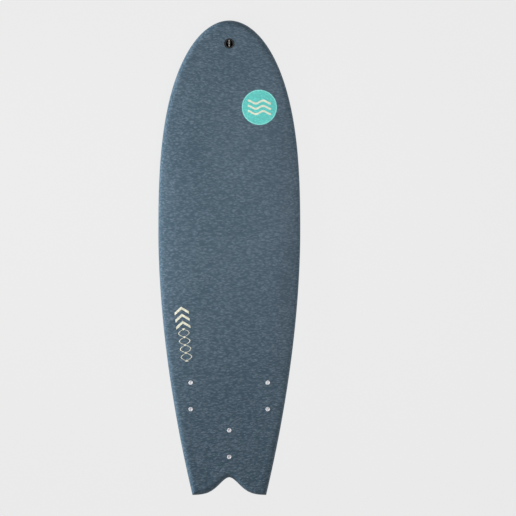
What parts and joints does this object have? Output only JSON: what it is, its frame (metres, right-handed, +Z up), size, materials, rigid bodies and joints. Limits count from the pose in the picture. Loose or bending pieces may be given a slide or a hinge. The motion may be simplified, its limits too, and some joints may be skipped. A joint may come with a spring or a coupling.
{
  "type": "surfboard",
  "caption": "Soft-top fish surfboard with foam core, wooden stringers, foam deck, slick bottom, notched tail, leash plug, finger grip recess and bolt-on fins",
  "frame": {"origin": "lowest point of the bottom's rocker, on the centreline at half length, where the belly rests", "axes": "+X to starboard, +Y to the nose, +Z up through the deck"},
  "size_m": [0.5172, 1.7272, 0.2239],
  "materials": {
    "deck_foam": "embossed matte closed-cell foam, slate blue",
    "scrim": "glass-fibre scrim in resin",
    "slick": "smooth semi-gloss sheet, pale grey",
    "core_foam": "beaded expanded foam",
    "stringer_wood": "plain veneer ply",
    "grip_plastic": "ribbed soft moulding, dark grey",
    "plug_plastic": "black moulding",
    "bar_steel": "brushed stainless steel",
    "fin_plastic": "milky moulded plastic",
    "screw_nylon": "white nylon",
    "washer_rubber": "black rubber",
    "ferrule_plastic": "white moulding",
    "insert_brass": "turned brass"
  },
  "bodies": {
    "root": {"deck_skin": "deck_foam", "deck_laminate": "scrim", "bottom_laminate": "scrim", "bottom_slick": "slick", "core_port": "core_foam", "core_centre": "core_foam", "core_starboard": "core_foam", "stringer_port": "stringer_wood", "stringer_starboard": "stringer_wood", "grip_liner": "grip_plastic", "leash_cup": "plug_plastic", "leash_bar": "bar_steel", "fin_port": "fin_plastic", "fin_screws_port": "screw_nylon", "fin_washers_port": "washer_rubber", "fin_deck_ferrules_port": "ferrule_plastic", "fin_bottom_ferrules_port": "ferrule_plastic", "fin_inserts_port": "insert_brass", "fin_starboard": "fin_plastic", "fin_screws_starboard": "screw_nylon", "fin_washers_starboard": "washer_rubber", "fin_deck_ferrules_starboard": "ferrule_plastic", "fin_bottom_ferrules_starboard": "ferrule_plastic", "fin_inserts_starboard": "insert_brass", "fin_centre": "fin_plastic", "fin_screws_centre": "screw_nylon", "fin_washers_centre": "washer_rubber", "fin_deck_ferrules_centre": "ferrule_plastic", "fin_bottom_ferrules_centre": "ferrule_plastic", "fin_inserts_centre": "insert_brass"}
  },
  "joints": []
}
